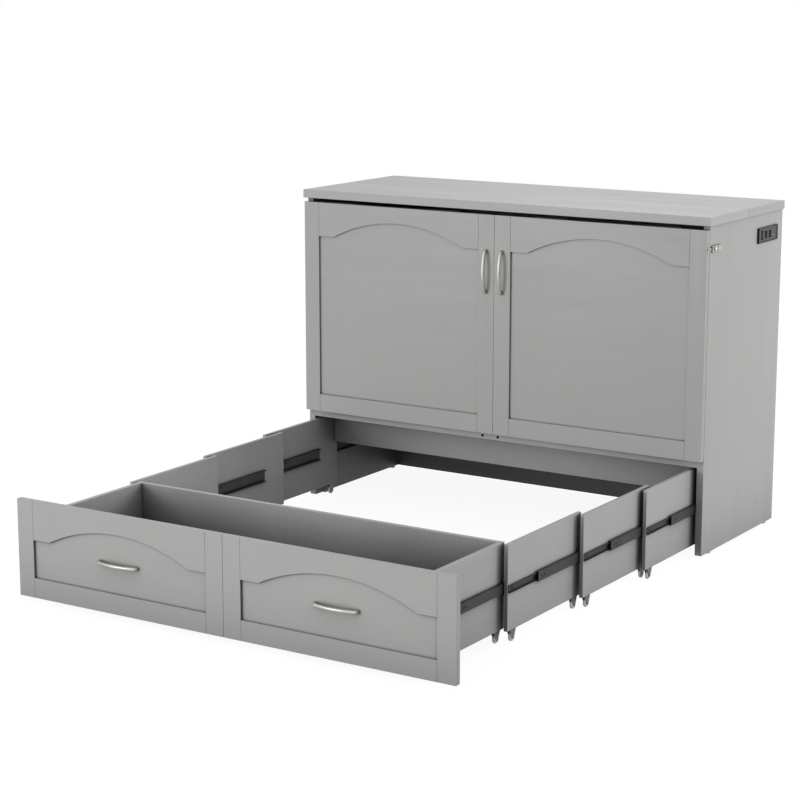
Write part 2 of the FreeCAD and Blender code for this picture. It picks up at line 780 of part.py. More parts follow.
def caster_fork(label, x, y):
    """A folded steel fork under a board's edge: a top plate, two ears that narrow to the axle, and the
    axle fixed in them."""
    fork = body(label, x, y)
    half = "(fork_length / 2)"
    top = "rail_bottom"
    side = sketch(fork, "YZ", "side")
    outline(side, [
        (f"-{half}", top), (f"-{half}", f"{top} - fork_steel"),
        ("-fork_nose", "wheel_radius", "right", "fork_nose"),
        ("0", "wheel_radius - fork_nose", "right", "fork_nose"), ("fork_nose", "wheel_radius"),
        (half, f"{top} - fork_steel"), (half, top),
    ])
    pad(fork, side, "fork_width", midplane=True)
    throat = rectangle(sketch(fork, "XZ", "throat"), "-(fork_width / 2 - fork_steel)", "0",
                       "fork_width / 2 - fork_steel", f"{top} - fork_steel")
    pocket(fork, throat, midplane=True)
    axle = hole(sketch(fork, "YZ", "axle"), "0", "wheel_radius", "axle_radius")
    pad(fork, axle, "fork_width", midplane=True)
    return fork


def caster_wheel(label, x, y):
    """A small solid wheel with chamfered shoulders, bored for its axle."""
    wheel = body(label, x, y, "wheel_radius")
    half = "(wheel_width / 2)"
    bore = "axle_radius + pin_clearance"
    shoulder = "wheel_radius - wheel_chamfer"
    profile = outline(sketch(wheel, "XZ", "profile"), [
        (f"-{half}", bore), (half, bore), (half, shoulder), (f"{half} - wheel_chamfer", "wheel_radius"),
        (f"-{half} + wheel_chamfer", "wheel_radius"), (f"-{half}", shoulder),
    ])
    revolve(wheel, profile, "H_Axis")
    return wheel


def caster_set(name, x, front_y, back_y):
    """The forks in one node, and a node of wheels for each end."""
    forks = []
    wheel_nodes = []
    for end, y in (("front", front_y), ("rear", back_y)):
        forks.append(caster_fork(f"{name}_fork_{end}", x, y))
        wheel = caster_wheel(f"{name}_wheel_{end}", x, y)
        wheel_nodes.append(both_sides(f"{name}_wheels_{end}", [wheel]))
    return [both_sides(f"{name}_casters", forks)] + wheel_nodes


# --- build ---------------------------------------------------------------

nodes = [
    side_panel("side_panel_right", SIDE_INNER, True),
    side_panel("side_panel_left", f"-{HALF_WIDTH}", False),
    lid_half("lid_rear", f"{SEAM} + lid_seam / 2",
             f"cabinet_depth - lid_back_setback - {SEAM} - lid_seam / 2", True),
    platform_shelf("platform_shelf"),
    board("back_panel", f"2 * {SIDE_INNER}", "back_panel_thickness", f"{LID_UNDER} - {SHELF_UNDER}",
          f"-{SIDE_INNER}", BACK_FACE, SHELF_UNDER),
    board("back_rail", f"2 * {SIDE_INNER}", "back_rail_thickness", f"{SHELF_UNDER} - floor_gap",
          f"-{SIDE_INNER}", "cabinet_depth - back_inset - back_rail_thickness", "floor_gap"),
    group("top_rails", [
        board("top_rail_middle", f"2 * {SIDE_INNER}", "top_rail_thickness", "top_rail_height",
              f"-{SIDE_INNER}", f"{SEAM} + top_rail_setback", f"{LID_UNDER} - top_rail_height"),
        board("top_rail_back", f"2 * {SIDE_INNER}", "top_rail_thickness", "top_rail_height",
              f"-{SIDE_INNER}", f"{BACK_FACE} - top_rail_thickness", f"{LID_UNDER} - top_rail_height"),
    ]),
    floor_glides("floor_glides"),
    outlet_unit("outlet_unit"),
    catch_housings("catch_housings"),
    group("shelf_magnets", [
        rod(f"shelf_{x}", "magnet_radius", "magnet_length", "Y", x, SIDE_FRONT, MAGNET_HEIGHT)
        for x in ("magnet_left", "magnet_right")
    ]),
    both_sides("shelf_hinge_leaves", hinge_leaves("shelf_leaf", HINGE_Z, SHELF_LEAF, True)),
    lid_barrels("lid_hinge_barrels_rear", f"{SEAM} + lid_seam / 2"),
    lid_half("lid_front", f"{SEAM} - lid_seam / 2", "lid_front_depth", False),
    lid_barrels("lid_hinge_barrels_front", f"{SEAM} - lid_seam / 2 - barrel_length"),
    catch_tongues("catch_tongues"),
    both_sides("front_hinge_leaves", hinge_leaves("front_low_leaf", HINGE_Z, FRONT_LOW_LEAF, False)
               + hinge_leaves("front_top_leaf", FOLD_Z, FRONT_TOP_LEAF, True)),
    cut("front_backer", backer("front_backer_board", "0", FRONT_BOTTOM, FRONT_HEIGHT),
        mortises("front_low_mortise", HINGE_Z, FRONT_LOW_LEAF)
        + mortises("front_top_mortise", FOLD_Z, FRONT_TOP_LEAF)),
    cut("foot_panel",
        board("foot_board", f"2 * ({SIDE_INNER} - foot_side_gap)", "foot_thickness", FOOT_LENGTH,
              f"-{SIDE_INNER} + foot_side_gap", FOOT_FACE, f"{FRONT_TOP} - {FOOT_LENGTH}"),
        mortises("foot_mortise", FOLD_Z, FOOT_LEAF)),
    both_sides("foot_hinge_leaves", hinge_leaves("foot_leaf", FOLD_Z, FOOT_LEAF, False)),
]
nodes += door_frames("front", "0", FRONT_BOTTOM, FRONT_HEIGHT, "door_rail_at_peak", "door_arch_rise")
nodes.append(both_sides("front_handles", [
    bow_handle("front_handle", "door_handle_offset", "0", f"({FRONT_TOP} - door_handle_drop)", True)
]))

# The stages, each as (name, travel of it and all behind it, stagger when shut).
STAGES = (
    ("stage1", "stage1_travel", "stage1_stagger"),
    ("stage2", "(stage1_travel + stage2_travel)", "0"),
    ("stage3", "(stage1_travel + stage2_travel + stage3_travel)", "0"),
)
nodes.append(both_sides("cabinet_slide_channels", [
    outer_channel("cabinet_channel", SIDE_INNER, f"{STAGE_FRONT} + stage1_stagger + slide_end_inset")
]))
for number_of, (stage, travel, stagger) in enumerate(STAGES, start=1):
    front = f"({STAGE_FRONT} + {stagger} - {travel})"
    parent_face = f"({SIDE_INNER} - {number_of - 1} * {LANE})"
    outer_face = f"({parent_face} - slide_thickness)"
    inner_face = f"({outer_face} - rail_thickness)"
    middle = f"({outer_face} - rail_thickness / 2)"
    slide_y = f"{front} + slide_end_inset"
    for side, x in (("right", inner_face), ("left", f"-{outer_face}")):
        nodes.append(eased_board(f"{stage}_rail_{side}", "rail_thickness", "rail_length", "rail_height",
                                 x, front, "rail_bottom"))
    nodes.append(both_sides(f"{stage}_slide_members", [
        inner_channel(f"{stage}_inner", parent_face, slide_y),
        outer_channel(f"{stage}_outer", inner_face, slide_y),
    ]))
    middle_y = f"{slide_y} + slide_showing"
    nodes.append(both_sides(f"{stage}_middle_slides", [
        middle_channel(f"{stage}_middle", parent_face, middle_y),
        *cages(f"{stage}_cage", parent_face, middle_y),
    ]))
    nodes += caster_set(stage, middle, f"{front} + caster_inset", f"{front} + rail_length - caster_inset")

# The cross rail ties stage 1 together behind the shut ends of the stages inside it.
cross_inner = f"({SIDE_INNER} - {LANE})"
cross_front = f"{STAGE_FRONT} + rail_length + cross_rail_gap - stage1_travel"
nodes.append(eased_board("stage1_cross_rail", f"2 * {cross_inner}", "cross_rail_thickness",
                         "cross_rail_height", f"-{cross_inner}", cross_front,
                         "rail_bottom + rail_height - cross_rail_height"))

# The drawer.
drawer_face = f"-{TRAVEL}"
box_front = f"(front_thickness - {TRAVEL})"
drawer_outer = f"({SIDE_INNER} - 3 * {LANE} - slide_thickness)"
drawer_inner = f"({drawer_outer} - drawer_side_thickness)"
drawer_tall = f"({FRONT_BOTTOM} - drawer_shelf_gap - drawer_front_bottom)"
nodes.append(backer("drawer_backer", drawer_face, "drawer_front_bottom", drawer_tall))
nodes += door_frames("drawer", drawer_face, "drawer_front_bottom", drawer_tall,
                     "drawer_rail_at_peak", "drawer_arch_rise")
nodes.append(both_sides("drawer_handles", [
    bow_handle("drawer_handle", "drawer_handle_offset", DRAWER_PANEL,
               "drawer_front_bottom + drawer_handle_rise", False)
]))
for side, x in (("right", drawer_inner), ("left", f"-{drawer_outer}")):
    nodes.append(eased_board(f"drawer_side_{side}", "drawer_side_thickness", "drawer_side_length",
                             "rail_height", x, box_front, "rail_bottom"))
drawer_back_y = f"{box_front} + drawer_side_length - drawer_side_thickness"
nodes.append(eased_board("drawer_back", f"2 * {drawer_inner}", "drawer_side_thickness", "rail_height",
                         f"-{drawer_inner}", drawer_back_y, "rail_bottom"))
nodes.append(board("drawer_bottom", f"2 * {drawer_inner}", "drawer_side_length - drawer_side_thickness",
                   "drawer_bottom_thickness", f"-{drawer_inner}", box_front, "drawer_bottom_height"))
drawer_slide_y = f"{box_front} + stage_front_gap + slide_end_inset"
last_face = f"({SIDE_INNER} - 3 * {LANE})"
nodes.append(both_sides("drawer_slide_members", [inner_channel("drawer_inner", last_face, drawer_slide_y)]))
nodes.append(both_sides("drawer_middle_slides", [
    middle_channel("drawer_middle", last_face, f"{drawer_slide_y} + slide_showing"),
    *cages("drawer_cage", last_face, f"{drawer_slide_y} + slide_showing"),
]))
nodes += caster_set("drawer", f"({drawer_outer} - drawer_side_thickness / 2)", f"{box_front} + caster_inset",
                    f"{box_front} + drawer_side_length - caster_inset")

doc.recompute()
for thing in doc.Objects:
    failed = {"Invalid", "Error"} & set(thing.State)
    if failed:
        raise RuntimeError(f"{thing.Name} is {failed}")
os.makedirs("parts", exist_ok=True)
for node in nodes:
    shape = node.Shape
    if shape.isNull() or not shape.isValid():
        raise RuntimeError(f"{node.Label} has no valid shape")
for node in nodes:
    node.Shape.exportStep(f"parts/{node.Label}.step")
print(f"{len(nodes)} nodes, {sum(len(node.Shape.Solids) for node in nodes)} solids")
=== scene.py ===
import math

import bmesh
import bpy
from mathutils import Matrix, Vector


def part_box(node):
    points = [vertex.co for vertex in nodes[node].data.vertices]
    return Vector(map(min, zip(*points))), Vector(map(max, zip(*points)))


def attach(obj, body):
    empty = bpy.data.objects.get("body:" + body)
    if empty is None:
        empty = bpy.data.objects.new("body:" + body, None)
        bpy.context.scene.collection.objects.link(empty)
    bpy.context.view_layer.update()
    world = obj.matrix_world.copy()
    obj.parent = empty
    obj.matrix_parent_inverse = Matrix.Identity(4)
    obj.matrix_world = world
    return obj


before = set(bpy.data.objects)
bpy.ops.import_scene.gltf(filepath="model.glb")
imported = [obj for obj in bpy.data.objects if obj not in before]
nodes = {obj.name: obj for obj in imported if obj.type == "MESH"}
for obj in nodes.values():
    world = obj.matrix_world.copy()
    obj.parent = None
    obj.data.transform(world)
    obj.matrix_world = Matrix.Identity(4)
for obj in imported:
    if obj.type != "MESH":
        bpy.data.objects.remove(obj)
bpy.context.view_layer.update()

# The cabinet bed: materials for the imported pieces, small fittings and fasteners, the floor, the lights and
# the camera. Metres, +X to the right of someone facing the front, +Y to the back, +Z up.

STAGES = ("stage1", "stage2", "stage3")
# A heading is an angle in degrees from +X towards +Y. Each side is (name, sign of X, heading of its outer
# faces).
SIDES = (("right", 1, 0), ("left", -1, 180))
BACK_HEADING = 90


def srgb(red, green, blue):
    """A colour given as it looks on a screen, from 0 to 255, in the linear values that shaders take."""
    channels = (value / 255 for value in (red, green, blue))
    return tuple(c / 12.92 if c <= 0.04045 else ((c + 0.055) / 1.055) ** 2.4 for c in channels) + (1.0,)


def scaled(colour, factor):
    """A linear colour, lighter or darker by a factor."""
    return tuple(channel * factor for channel in colour[:3]) + (1.0,)


# --- node helpers ---------------------------------------------------------------

# The sockets of a Mix node that mixes colours.
MIX_AMOUNT, MIX_FIRST, MIX_SECOND, MIX_RESULT = 0, 6, 7, 2


class Shader:
    """A material's node tree with one Principled shader, and short ways to add and join nodes."""

    def __init__(self, name, colour, roughness, metallic=0.0):
        self.material = bpy.data.materials.new(name)
        self.material.use_nodes = True
        self.material.diffuse_color = colour
        self.tree = self.material.node_tree
        self.surface = self.tree.nodes["Principled BSDF"]
        self.surface.inputs["Base Color"].default_value = colour
        self.surface.inputs["Roughness"].default_value = roughness
        self.surface.inputs["Metallic"].default_value = metallic
        self.place = self.add("ShaderNodeTexCoord").outputs["Object"]

    def add(self, kind, **settings):
        """A new node with the given settings."""
        node = self.tree.nodes.new(kind)
        for name, value in settings.items():
            setattr(node, name, value)
        return node

    def join(self, output, socket):
        """Links one node's output to another's socket."""
        self.tree.links.new(output, socket)

    def stretch(self, scale):
        """The object's coordinates, scaled along each axis."""
        mapping = self.add("ShaderNodeMapping")
        mapping.inputs["Scale"].default_value = scale
        self.join(self.place, mapping.inputs["Vector"])
        return mapping.outputs["Vector"]

    def noise(self, vector, scale, detail=4.0, roughness=0.55, distortion=0.0):
        """Cloudy noise, from 0 to 1, at the vector's places."""
        node = self.add("ShaderNodeTexNoise")
        self.join(vector, node.inputs["Vector"])
        for socket, value in (("Scale", scale), ("Detail", detail), ("Roughness", roughness),
                              ("Distortion", distortion)):
            node.inputs[socket].default_value = value
        return node.outputs["Fac"]

    def spread(self, value, low, high, from_low=0.3, from_high=0.7):
        """The value carried from one range onto another, and held inside it."""
        node = self.add("ShaderNodeMapRange")
        self.join(value, node.inputs["Value"])
        for socket, number in (("From Min", from_low), ("From Max", from_high),
                               ("To Min", low), ("To Max", high)):
            node.inputs[socket].default_value = number
        return node.outputs["Result"]

    def mixed(self, amount, first, second):
        """Two colours, or a socket and a colour, mixed by the amount."""
        node = self.add("ShaderNodeMix", data_type="RGBA")
        for index, value in ((MIX_AMOUNT, amount), (MIX_FIRST, first), (MIX_SECOND, second)):
            if isinstance(value, bpy.types.NodeSocket):
                self.join(value, node.inputs[index])
            else:
                node.inputs[index].default_value = value
        return node.outputs[MIX_RESULT]

    def blended(self, first, second, share):
        """The first value plus a share of the second."""
        node = self.add("ShaderNodeMath", operation="MULTIPLY_ADD")
        self.join(second, node.inputs[0])
        node.inputs[1].default_value = share
        self.join(first, node.inputs[2])
        return node.outputs["Value"]

    def bump(self, height, strength, distance):
        """Shades the surface as if the height raised it."""
        node = self.add("ShaderNodeBump")
        node.inputs["Strength"].default_value = strength
        node.inputs["Distance"].default_value = distance
        self.join(height, node.inputs["Height"])
        self.join(node.outputs["Normal"], self.surface.inputs["Normal"])

    def closeness(self, reach, inside=False, samples=6):
        """1 on open surfaces, and less where others lie within reach: in corners and joints or, inside,
        along the piece's own edges."""
        node = self.add("ShaderNodeAmbientOcclusion", samples=samples, inside=inside)
        node.inputs["Distance"].default_value = reach
        return node.outputs["AO"]


# --- materials ---------------------------------------------------------------

PAINT = srgb(180, 181, 179)
# Painted shade for the joints and corners, and for deep inside the cabinet.
JOINT_SHADE = srgb(58, 58, 57)
DEEP_SHADE = srgb(56, 58, 57)
# How far the painted shade inside the cabinet and in the joints, the edge wear, the tarnish and the darkening
# in folds, openings and wheels reach.
INSIDE_REACH = 0.5
JOINT_REACH = 0.010
EDGE_REACH = 0.0015
TARNISH_REACH = 0.014
FOLD_REACH = 0.006
OPENING_REACH = 0.004
WHEEL_REACH = 0.0012
# The scale of the wood's figure along each axis, for each direction of the grain.
GRAIN_SCALES = {"X": (1.4, 22.0, 22.0), "Y": (22.0, 1.4, 22.0), "Z": (22.0, 22.0, 1.4)}
# The scale of brush lines along each axis.
BRUSHED_UPRIGHT = (900.0, 900.0, 25.0)
BRUSHED_LEVEL = (25.0, 900.0, 900.0)
BRUSHED_DEEP = (500.0, 60.0, 500.0)
POLISHED = (300.0, 300.0, 300.0)


def painted_wood(name, grain, paint=PAINT, figure=0.2):
    """Satin paint over wood whose grain runs along the given axis and shows as much as figure says. It
    carries painted shade in the joints and deep inside the cabinet, and is rubbed paler along the edges."""
    shader = Shader(name, paint, roughness=0.42)
    along = shader.stretch(GRAIN_SCALES[grain])
    streaks = shader.noise(along, scale=1.0, detail=6.0, distortion=0.4)
    pores = shader.noise(along, scale=9.0, detail=3.0)
    clouds = shader.noise(shader.place, scale=2.3, detail=2.0)
    peel = shader.noise(shader.place, scale=420.0, detail=1.0)
    colour = shader.mixed(shader.spread(streaks, 0.0, figure), paint, scaled(paint, 0.88))
    colour = shader.mixed(shader.spread(clouds, 0.0, 0.4), colour, scaled(paint, 1.07))
    edges = shader.closeness(EDGE_REACH, inside=True)
    rubbed = shader.spread(edges, 0.35, 0.0, from_low=0.35, from_high=0.8)
    colour = shader.mixed(rubbed, colour, scaled(paint, 1.1))
    # Painted shade wherever much lies within reach: deep inside the cabinet and near the floor.
    openness = shader.closeness(INSIDE_REACH, samples=12)
    shade = shader.spread(openness, 0.95, 0.0, from_low=0.2, from_high=0.67)
    colour = shader.mixed(shade, colour, DEEP_SHADE)
    # Painted shade in the joints and corners, wherever another surface lies within reach.
    crevice_darkening = shader.spread(shader.closeness(JOINT_REACH), 0.8, 0.0, from_low=0.3, from_high=0.85)
    colour = shader.mixed(crevice_darkening, colour, JOINT_SHADE)
    shader.join(colour, shader.surface.inputs["Base Color"])
    shader.join(shader.spread(streaks, 0.38, 0.5), shader.surface.inputs["Roughness"])
    shader.bump(shader.blended(pores, peel, share=0.35), strength=0.14, distance=0.0005)
    return shader.material


def dark_board(name, colour):
    """Dark board with a faint grain along X."""
    shader = Shader(name, colour, roughness=0.5)
    streaks = shader.noise(shader.stretch((1.2, 30.0, 30.0)), scale=1.0, detail=6.0)
    grained = shader.mixed(shader.spread(streaks, 0.0, 1.0), scaled(colour, 0.85), scaled(colour, 1.2))
    shader.join(grained, shader.surface.inputs["Base Color"])
    shader.join(shader.spread(streaks, 0.44, 0.58), shader.surface.inputs["Roughness"])
    shader.bump(streaks, strength=0.15, distance=0.0006)
    return shader.material


def brushed_metal(name, colour, worn, roughness, lines):
    """Metal with fine brush lines, whose scale along each axis is lines, with lighter rubbed patches and
    tarnish in the corners."""
    shader = Shader(name, colour, roughness, metallic=1.0)
    strokes = shader.noise(shader.stretch(lines), scale=1.0, detail=5.0, roughness=0.7)
    patches = shader.noise(shader.place, scale=30.0, detail=3.0)
    tone = shader.mixed(shader.spread(patches, 0.0, 0.6), colour, worn)
    tarnish = shader.spread(shader.closeness(TARNISH_REACH), 0.75, 0.0, from_low=0.25, from_high=0.8)
    tone = shader.mixed(tarnish, tone, scaled(colour, 0.25))
    shader.join(tone, shader.surface.inputs["Base Color"])
    shader.join(shader.spread(strokes, roughness - 0.07, roughness + 0.1), shader.surface.inputs["Roughness"])
    shader.bump(strokes, strength=0.1, distance=0.0002)
    return shader.material


def zinc(name, colour, fleck, metallic, roughness):
    """Plated steel: a cloudy colour with a fine crystal fleck, darker in its folds."""
    shader = Shader(name, colour, roughness, metallic=metallic)
    shader.surface.inputs["Specular IOR Level"].default_value = 0.3
    cells = shader.add("ShaderNodeTexVoronoi")
    cells.inputs["Scale"].default_value = 420.0
    shader.join(shader.place, cells.inputs["Vector"])
    clouds = shader.noise(shader.place, scale=14.0, detail=4.0)
    flecks = shader.spread(cells.outputs["Distance"], 0.0, 0.35, from_low=0.1, from_high=0.6)
    tone = shader.mixed(flecks, colour, fleck)
    tone = shader.mixed(shader.spread(clouds, 0.0, 0.5), tone, fleck)
    crevice_darkening = shader.spread(shader.closeness(FOLD_REACH), 0.8, 0.0, from_low=0.25, from_high=0.85)
    tone = shader.mixed(crevice_darkening, tone, scaled(colour, 0.3))
    shader.join(tone, shader.surface.inputs["Base Color"])
    shader.join(shader.spread(clouds, roughness - 0.06, roughness + 0.1), shader.surface.inputs["Roughness"])
    shader.bump(cells.outputs["Distance"], strength=0.05, distance=0.0002)
    return shader.material


def plastic(name, colour, scuffed, roughness, stipple, gloss=0.5, crevice_reach=OPENING_REACH):
    """Moulded plastic with a stipple of the given scale and faint scuffs, darker in its openings."""
    shader = Shader(name, colour, roughness)
    shader.surface.inputs["Specular IOR Level"].default_value = gloss
    grain = shader.noise(shader.place, stipple, detail=2.0)
    scuffs = shader.noise(shader.stretch((60.0, 160.0, 60.0)), scale=1.0, detail=5.0)
    tone = shader.mixed(shader.spread(scuffs, 0.0, 0.7, from_low=0.5, from_high=0.75), colour, scuffed)
    crevice_darkening = shader.spread(shader.closeness(crevice_reach), 0.7, 0.0, from_low=0.25, from_high=0.85)
    tone = shader.mixed(crevice_darkening, tone, scaled(colour, 0.2))
    shader.join(tone, shader.surface.inputs["Base Color"])
    shader.join(shader.spread(scuffs, roughness, roughness + 0.15), shader.surface.inputs["Roughness"])
    shader.bump(grain, strength=0.12, distance=0.0002)
    return shader.material


paint_along_x = painted_wood("grey_paint_along_x", "X")
paint_along_y = painted_wood("grey_paint_along_y", "Y")
paint_along_z = painted_wood("grey_paint_along_z", "Z")
# Painted light: the lid's front board is painted paler than the rest for the light it catches, and its
# stronger streaks are partly wood grain and partly painted reflections.
lid_paint_with_painted_light = painted_wood("grey_paint_lid_front_painted_light", "X", srgb(188, 189, 187), figure=0.35)
# The back rail's dark colour is partly its own and partly painted shade for the deep shade it sits in under
# the shelf.
back_rail_shade_paint = dark_board("dark_board_painted_shade", srgb(52, 53, 52))
NICKEL = srgb(178, 175, 168)
NICKEL_WORN = srgb(196, 194, 188)
nickel_upright = brushed_metal("brushed_nickel_upright", NICKEL, NICKEL_WORN, 0.38, BRUSHED_UPRIGHT)
nickel_level = brushed_metal("brushed_nickel_level", NICKEL, NICKEL_WORN, 0.38, BRUSHED_LEVEL)
bright_steel = brushed_metal("bright_steel", srgb(196, 195, 190), srgb(216, 214, 208), 0.36, BRUSHED_DEEP)
catch_steel = brushed_metal("catch_steel", srgb(166, 166, 160), srgb(184, 184, 178), 0.42, BRUSHED_DEEP)
ball_steel = brushed_metal("polished_steel", srgb(232, 232, 228), srgb(240, 240, 238), 0.22, POLISHED)
dark_zinc = zinc("black_zinc", srgb(46, 46, 43), srgb(59, 59, 55), metallic=0.5, roughness=0.45)
caster_zinc = zinc("grey_zinc", srgb(92, 93, 90), srgb(118, 119, 115), metallic=0.6, roughness=0.4)
wheel_nylon = plastic("pale_nylon", srgb(224, 224, 220), srgb(190, 189, 184), 0.4, 500.0,
                      crevice_reach=WHEEL_REACH)
outlet_plastic = plastic("outlet_plastic", srgb(80, 80, 80), srgb(94, 94, 94), 0.45, 900.0, gloss=0.3)
pale_plastic = plastic("pale_plastic", srgb(206, 205, 196), srgb(186, 185, 178), 0.4, 700.0)
black_plastic = plastic("black_plastic", srgb(15, 15, 15), srgb(30, 30, 30), 0.55, 700.0, gloss=0.12)
bezel_plastic = plastic("bezel_plastic", srgb(62, 62, 62), srgb(76, 76, 76), 0.42, 900.0, gloss=0.3)

# The grain of each painted piece runs along its length: upright or from front to back here, and along X for
# all others.
UPRIGHT_GRAIN = ("side_panel_right", "side_panel_left", "front_stiles", "drawer_stiles")
DEEP_GRAIN = tuple(
    f"{board}_{side}" for board in [f"{stage}_rail" for stage in STAGES] + ["drawer_side"]
    for side in ("right", "left")
)
NAMED_FINISHES = {
    **{node: paint_along_z for node in UPRIGHT_GRAIN},
    **{node: paint_along_y for node in DEEP_GRAIN},
    "lid_front": lid_paint_with_painted_light,
    "front_handles": nickel_upright,
    "drawer_handles": nickel_level,
    "back_rail": back_rail_shade_paint,
    "outlet_unit": outlet_plastic,
    "shelf_magnets": black_plastic,
    "floor_glides": wheel_nylon,
}
# The finish of any other piece whose name holds the word.
WORD_FINISHES = (
    ("wheels", wheel_nylon), ("casters", caster_zinc), ("slide", dark_zinc), ("leaves", dark_zinc),
    ("catch", catch_steel), ("barrels", bright_steel),
)


def finish_of(node):
    """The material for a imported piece."""
    if node in NAMED_FINISHES:
        return NAMED_FINISHES[node]
    for word, material in WORD_FINISHES:
        if word in node:
            return material
    return paint_along_x


for node, piece in nodes.items():
    piece.data.materials.clear()
    piece.data.materials.append(finish_of(node))


# --- mesh helpers ---------------------------------------------------------------


def rounded_rectangle(low_y, high_y, low_z, high_z, radius, steps=5):
    """The points (y, z) round a rectangle with rounded corners."""
    points = []
    for centre_y, centre_z, first in (
        (high_y - radius, high_z - radius, 0), (low_y + radius, high_z - radius, 1),
        (low_y + radius, low_z + radius, 2), (high_y - radius, low_z + radius, 3),
    ):
        for step in range(steps + 1):
            angle = (first + step / steps) * math.pi / 2
            points.append((centre_y + radius * math.cos(angle), centre_z + radius * math.sin(angle)))
    return points


def loft(work, sections, ring=False):
    """Walls between rounded rectangles, each given as (x, low y, high y, low z, high z, radius). The first
    and the last are filled, or joined to each other to make a ring."""
    loops = [
        [work.verts.new((x, y, z)) for y, z in rounded_rectangle(*extents)] for x, *extents in sections
    ]
    pairs = list(zip(loops, loops[1:]))
    if ring:
        pairs.append((loops[-1], loops[0]))
    for near, far in pairs:
        for step in range(len(near)):
            following = (step + 1) % len(near)
            work.faces.new((near[step], near[following], far[following], far[step]))
    if not ring:
        work.faces.new(loops[0])
        work.faces.new(loops[-1])


def block(base, top, low_y, high_y, low_z, high_z, radius, ease):
    """The sections of a block from x = base to x = top whose outer edge is eased."""
    rise = math.copysign(ease, top - base)
    return (
        (base, low_y, high_y, low_z, high_z, radius),
        (top - rise, low_y, high_y, low_z, high_z, radius),
        (top, low_y + ease, high_y - ease, low_z + ease, high_z - ease, radius - ease),
    )


def pierced(work, edge, holes, base, top):
    """A plate between x = base and x = top with holes through it. The edge and each hole are lists of points
    (y, z)."""
    rims = []
    for points in [edge] + holes:
        rim = [work.verts.new((top, y, z)) for y, z in points]
        rims += [work.edges.new((rim[step - 1], rim[step])) for step in range(len(rim))]
    filled = bmesh.ops.triangle_fill(work, edges=rims, use_beauty=True)["geom"]
    faces = [part for part in filled if isinstance(part, bmesh.types.BMFace)]
    sunk = bmesh.ops.extrude_face_region(work, geom=faces)["geom"]
    corners = [part for part in sunk if isinstance(part, bmesh.types.BMVert)]
    bmesh.ops.translate(work, vec=(base - top, 0, 0), verts=corners)


def finished(name, work, material, smooth=False):
    """The mesh made in work, with its faces turned outward."""
    bmesh.ops.recalc_face_normals(work, faces=work.faces)
    mesh = bpy.data.meshes.new(name)
    work.to_mesh(mesh)
    work.free()
    for polygon in mesh.polygons:
        polygon.use_smooth = smooth
    mesh.materials.append(material)
    return mesh


def fitting(name, mesh, body):
    """An object of the mesh that moves with a body."""
    piece = bpy.data.objects.new(name, mesh)
    bpy.context.scene.collection.objects.link(piece)
    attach(piece, body)
    return piece


def solid(name, blocks, material, body):
    """One object of several lofted blocks."""
    work = bmesh.new()
    for sections in blocks:
        loft(work, sections)
    return fitting(name, finished(name, work, material), body)


HEAD_RINGS = 6
HEAD_STEPS = 24
# The flat tip of a head, and the arms of the cross on it, as shares of its radius or, upward, of its rise.
TIP_SHARE = 0.04
ARM_LENGTH = 0.9
ARM_WIDTH = 0.22
ARM_RISE = 0.12


def head(name, radius, rise, material, crossed):
    """A domed head on the plane x = 0, facing +X, with the arms of a cross on it where crossed."""
    work = bmesh.new()
    previous = None
    for ring in range(HEAD_RINGS + 1):
        angle = ring / HEAD_RINGS * math.pi / 2
        across = radius * max(math.cos(angle), TIP_SHARE)
        height = rise * math.sin(angle)
        loop = [
            work.verts.new((height, across * math.cos(turn), across * math.sin(turn)))
            for turn in (2 * math.pi * step / HEAD_STEPS for step in range(HEAD_STEPS))
        ]
        if previous:
            for step in range(HEAD_STEPS):
                following = (step + 1) % HEAD_STEPS
                work.faces.new((previous[step], previous[following], loop[following], loop[step]))
        else:
            work.faces.new(loop)
        previous = loop
    work.faces.new(previous)
    for quarter in range(2 if crossed else 0):
        turned = Matrix.Rotation(quarter * math.pi / 2, 3, "X")
        arm = bmesh.ops.create_cube(work, size=1.0)["verts"]
        bmesh.ops.scale(work, vec=(ARM_RISE * rise, ARM_LENGTH * radius, ARM_WIDTH * radius), verts=arm)
        bmesh.ops.translate(work, vec=(rise, 0, 0), verts=arm)
        bmesh.ops.rotate(work, cent=(0, 0, 0), matrix=turned, verts=arm)
    return finished(name, work, material, smooth=True)


def placed_head(name, mesh, body, place, heading):
    """A head on a face that looks along the heading."""
    piece = fitting(name, mesh, body)
    piece.location = place
    piece.rotation_euler = (0, 0, math.radians(heading))


def middle_of(node):
    """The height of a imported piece's middle."""
    low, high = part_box(node)
    return (low.z + high.z) / 2


# --- fasteners ---------------------------------------------------------------

SCREW = head("slide_screw", radius=0.0034, rise=0.0012, material=black_plastic, crossed=True)
# The middle members run close to the channels they slide in, so their rivets are nearly flat.
RIVET = head("slide_rivet", radius=0.0036, rise=0.0003, material=black_plastic, crossed=False)
BACK_SCREW = head("back_screw", radius=0.0038, rise=0.0014, material=dark_zinc, crossed=True)
# All slides lie at one height.
SLIDE_MIDDLE = middle_of("drawer_slide_members")
# The thickness of the inner members, which lie on the boards and under the screws' heads.
SLIDE_STEEL = 0.0012
# These insets are counted from a member's front end, and the back panel's from its side edges.
STAGE_SCREW_INSETS = (0.020, 0.294)
DRAWER_SCREW_INSETS = (0.020, 0.034, 0.294)
RIVET_INSETS = (0.020, 0.034)
BACK_SCREW_INSET = 0.050
BACK_SCREW_COUNT = 7


